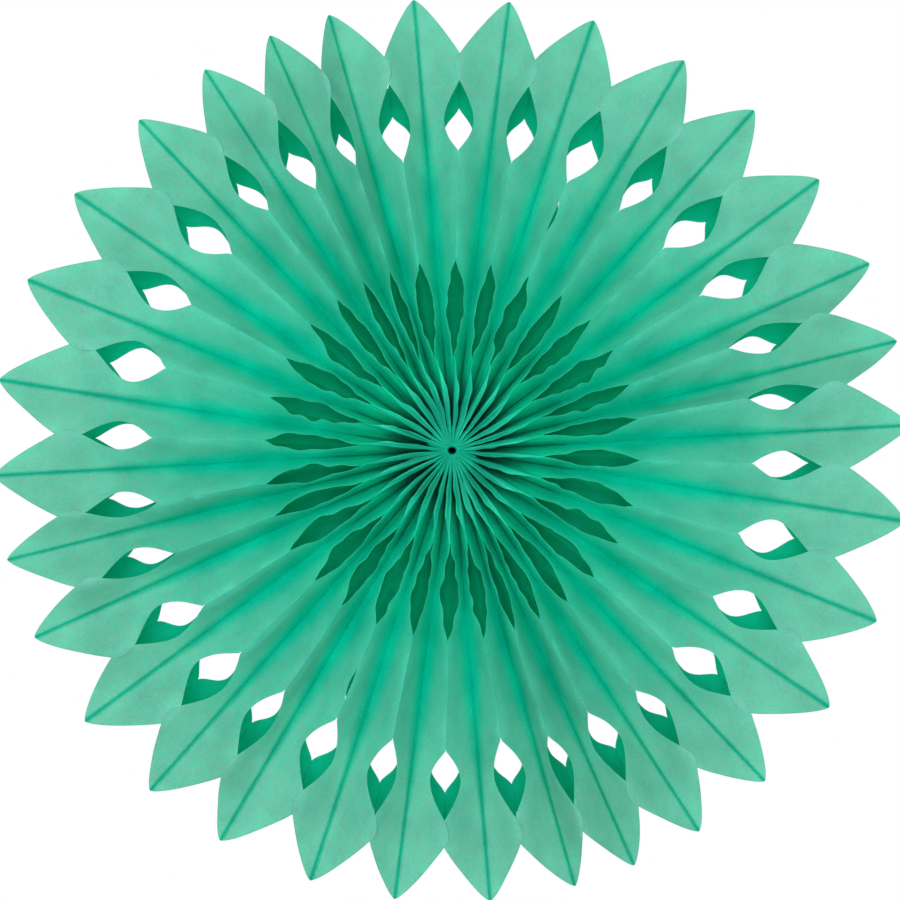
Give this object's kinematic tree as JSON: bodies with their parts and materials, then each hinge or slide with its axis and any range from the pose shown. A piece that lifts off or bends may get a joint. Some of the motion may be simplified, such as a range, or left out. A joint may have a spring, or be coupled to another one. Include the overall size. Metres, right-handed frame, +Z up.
{
  "type": "paper fan rosette",
  "caption": "Round tissue fan of folded leaves glued edge to edge round a small core, with cut holes and pointed leaf ends, hung or pinned by a thread hole through its centre.",
  "frame": {"origin": "centre of the disc, on the axis of the thread hole, halfway through its depth", "axes": "+Z up, the front faces -Y, the thread hole runs along Y"},
  "size_m": [0.4054, 0.044, 0.4046],
  "materials": {
    "tissue": "matte mint tissue paper",
    "glued_core": "matte glued tissue paper"
  },
  "bodies": {
    "root": {"leaf_01": "tissue", "leaf_02": "tissue", "leaf_03": "tissue", "leaf_04": "tissue", "leaf_05": "tissue", "leaf_06": "tissue", "leaf_07": "tissue", "leaf_08": "tissue", "leaf_09": "tissue", "leaf_10": "tissue", "leaf_11": "tissue", "leaf_12": "tissue", "leaf_13": "tissue", "leaf_14": "tissue", "leaf_15": "tissue", "leaf_16": "tissue", "leaf_17": "tissue", "leaf_18": "tissue", "leaf_19": "tissue", "leaf_20": "tissue", "leaf_21": "tissue", "leaf_22": "tissue", "leaf_23": "tissue", "leaf_24": "tissue", "leaf_25": "tissue", "leaf_26": "tissue", "leaf_27": "tissue", "leaf_28": "tissue", "leaf_29": "tissue", "leaf_30": "tissue", "leaf_31": "tissue", "leaf_32": "tissue", "centre_core": "glued_core"}
  },
  "joints": []
}
